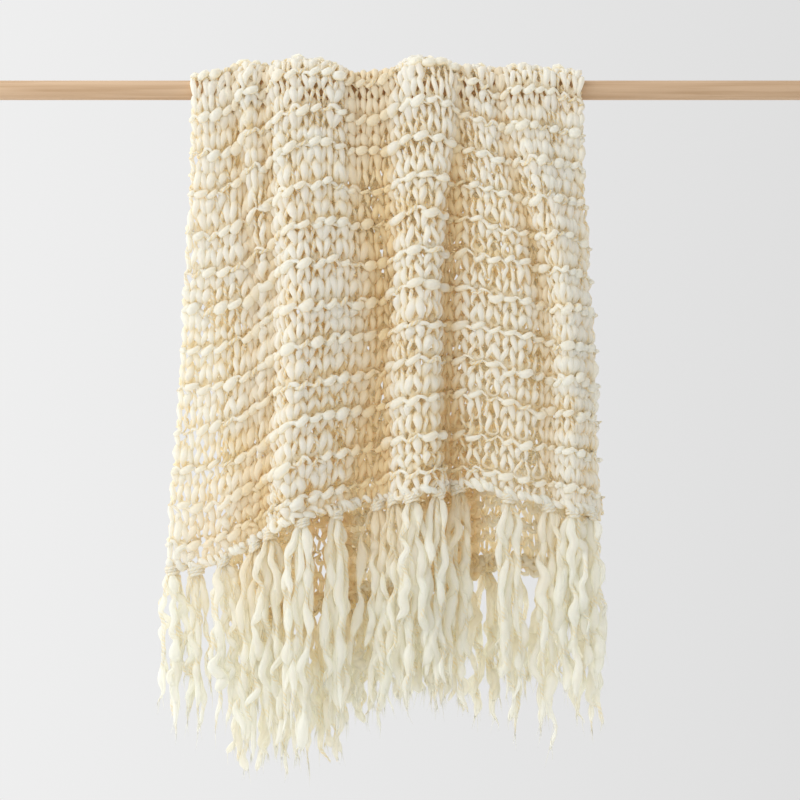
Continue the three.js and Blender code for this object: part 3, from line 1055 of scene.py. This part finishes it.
# Studio: even soft light, a pale floor that fades out, and a level camera in front of the throw
studio = {
    "cameraAway": 3.2,
    "cameraHeight": -0.48,
    "lens": 92.9,
    "sensor": 36.0,
    "floorHeight": -1.4,
    "floorRadius": 1.5,
    "floorFade": 0.7,
    "floorSegments": 96,
    "floorColour": (0.8, 0.8, 0.8, 1),
    "floorRoughness": 0.9,
    # Strengths of the backdrop and the sky, and the directions between which they change
    # The backdrop seen by the camera is painted light: lighter on the left, as if lit from the left
    "backdrop": (0.86, 0.74),   # left to right
    "backdropReach": (-0.19, 0.19),
    "sky": (1.20, 1.66),   # front to rear
    "skyReach": (-0.2, 0.6),
    "skySide": (1.01, 0.57),   # left to right
    "skySideReach": (-0.6, 0.6),
    "keyPower": 21.0,
    "keyColour": (0.94, 1.0, 1.06),
    "keyPlace": (-2.15, -1.2, 1.15),
    "keyAim": (0, 0, -0.5),
    "keySize": 1.3,
    "bounces": 32,
}


def studioCamera():
    camera = bpy.data.objects.new("camera", bpy.data.cameras.new("camera"))
    camera.location = (0, -studio["cameraAway"], studio["cameraHeight"])
    camera.rotation_euler = (math.radians(90), 0, 0)
    camera.data.lens = studio["lens"]
    camera.data.sensor_width = studio["sensor"]
    scene.collection.objects.link(camera)
    scene.camera = camera


def studioSky():
    world = bpy.data.worlds.new("studio")
    world.use_nodes = True
    tree = world.node_tree
    coords = addNode(tree, "TexCoord", {})
    split = addNode(tree, "SeparateXYZ", {"Vector": coords.outputs["Generated"]})

    def graded(axis, reach, strengths):
        labels = ("From Min", "From Max", "To Min", "To Max")
        inputs = dict(zip(labels, reach + strengths))
        return addNode(tree, "MapRange", {"Value": split.outputs[axis], **inputs}).outputs["Result"]

    white = (1, 1, 1, 1)
    front = graded("Y", studio["skyReach"], studio["sky"])
    beside = graded("X", studio["skySideReach"], studio["skySide"])
    light = tree.nodes["Background"]
    setInputs(tree, light, {"Color": white, "Strength": maths(tree, "MULTIPLY", front, beside)})
    # Backdrop for camera rays alone, with painted light, lighter to the left
    seen = graded("X", studio["backdropReach"], studio["backdrop"])
    backdrop = addNode(tree, "Background", {"Color": white, "Strength": seen})
    path = addNode(tree, "LightPath", {})
    either = addNode(tree, "MixShader", {
        "Fac": path.outputs["Is Camera Ray"],
        1: light.outputs["Background"],
        2: backdrop.outputs["Background"],
    })
    setInputs(tree, tree.nodes["World Output"], {"Surface": either.outputs["Shader"]})
    scene.world = world


def studioLight():
    scene.view_settings.view_transform = "Standard"
    scene.cycles.max_bounces = studio["bounces"]
    scene.cycles.diffuse_bounces = studio["bounces"]
    scene.cycles.transmission_bounces = studio["bounces"]
    lamp = bpy.data.lights.new("key", "AREA")
    lamp.energy = studio["keyPower"]
    lamp.color = studio["keyColour"]
    lamp.size = studio["keySize"]
    key = bpy.data.objects.new("key", lamp)
    key.location = studio["keyPlace"]
    aim = Vector(studio["keyAim"]) - Vector(studio["keyPlace"])
    key.rotation_euler = aim.to_track_quat("-Z", "Y").to_euler()
    scene.collection.objects.link(key)


# Floor: a pale disc that fades out towards its rim
def floorMaterial():
    material = bpy.data.materials.new("paleFloor")
    material.use_nodes = True
    tree = material.node_tree
    shader = tree.nodes["Principled BSDF"]
    setInputs(tree, shader, {"Base Color": studio["floorColour"], "Roughness": studio["floorRoughness"]})
    coords = addNode(tree, "TexCoord", {})
    flat = addNode(tree, "Mapping", {"Vector": coords.outputs["Object"], "Scale": (1, 1, 0)})
    away = addNode(tree, "VectorMath", {0: flat.outputs["Vector"]}, operation="LENGTH")
    fade = addNode(tree, "MapRange", {
        "Value": away.outputs["Value"],
        "From Min": studio["floorFade"],
        "From Max": studio["floorRadius"],
    })
    clear = addNode(tree, "BsdfTransparent", {})
    both = addNode(tree, "MixShader", {
        "Fac": fade.outputs["Result"], 1: shader.outputs["BSDF"], 2: clear.outputs["BSDF"],
    })
    setInputs(tree, tree.nodes["Material Output"], {"Surface": both.outputs["Shader"]})
    return material


def studioFloor():
    shape = bmesh.new()
    bmesh.ops.create_circle(shape, cap_ends=True, segments=studio["floorSegments"],
                            radius=studio["floorRadius"])
    for vert in shape.verts:
        vert.co.z = studio["floorHeight"]
    mesh = bpy.data.meshes.new("floor")
    shape.to_mesh(mesh)
    shape.free()
    mesh.materials.append(floorMaterial())
    floor = bpy.data.objects.new("floor", mesh)
    scene.collection.objects.link(floor)


studioCamera()
studioSky()
studioLight()
studioFloor()
print("studio made")
